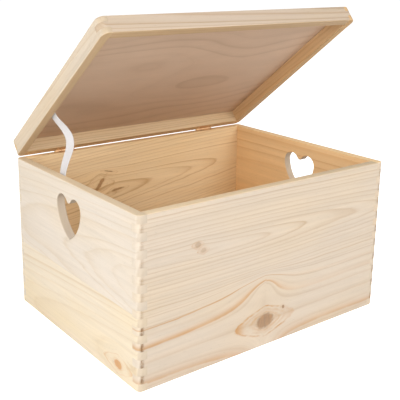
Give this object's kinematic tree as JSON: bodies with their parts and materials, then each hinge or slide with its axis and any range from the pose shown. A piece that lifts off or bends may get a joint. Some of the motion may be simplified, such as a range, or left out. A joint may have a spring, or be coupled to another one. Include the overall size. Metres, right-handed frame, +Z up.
{
  "type": "wooden toy box",
  "caption": "Rectangular pine box with finger-jointed corners, a heart-shaped finger hole in each end wall, and a framed lid on butt hinges with a ribbon stay.",
  "frame": {"origin": "middle of the flat underside of the box", "axes": "+Z up; +X to the right as seen from the front; +Y to the rear, towards the hinges"},
  "size_m": [0.4, 0.3133, 0.4128],
  "materials": {
    "pine": "raw sanded pine with fine grain, knots and eased edges",
    "plywood": "raw sanded thin plywood with a soft rotary-cut figure",
    "hinge_brass": "dull bronze-coloured plating",
    "staple_steel": "bright galvanised wire",
    "ribbon_white": "white ribbed woven ribbon"
  },
  "bodies": {
    "box": {"front_wall": "pine", "rear_wall": "pine", "left_wall_upper_board": "pine", "left_wall_lower_board": "pine", "right_wall_upper_board": "pine", "right_wall_lower_board": "pine", "bottom_panel": "plywood", "bottom_staples": "staple_steel", "left_hinge_fixed_leaf": "hinge_brass", "right_hinge_fixed_leaf": "hinge_brass", "left_hinge_pin": "hinge_brass", "right_hinge_pin": "hinge_brass", "hinge_screws_box": "hinge_brass", "ribbon_staple_wall": "staple_steel", "stay_ribbon": "ribbon_white"},
    "lid": {"lid_front_rail": "pine", "lid_rear_rail": "pine", "lid_left_rail": "pine", "lid_right_rail": "pine", "lid_panel": "plywood", "left_hinge_moving_leaf": "hinge_brass", "right_hinge_moving_leaf": "hinge_brass", "hinge_screws_lid": "hinge_brass", "ribbon_staple_lid": "staple_steel"}
  },
  "joints": [
    {"name": "lid_hinge", "type": "hinge", "parent": "box", "child": "lid", "pos_m": [0, 0.1503, 0.21015], "axis": [-1, 0, 0], "range_deg": [-38.2, 5], "deforming": ["stay_ribbon"]}
  ]
}
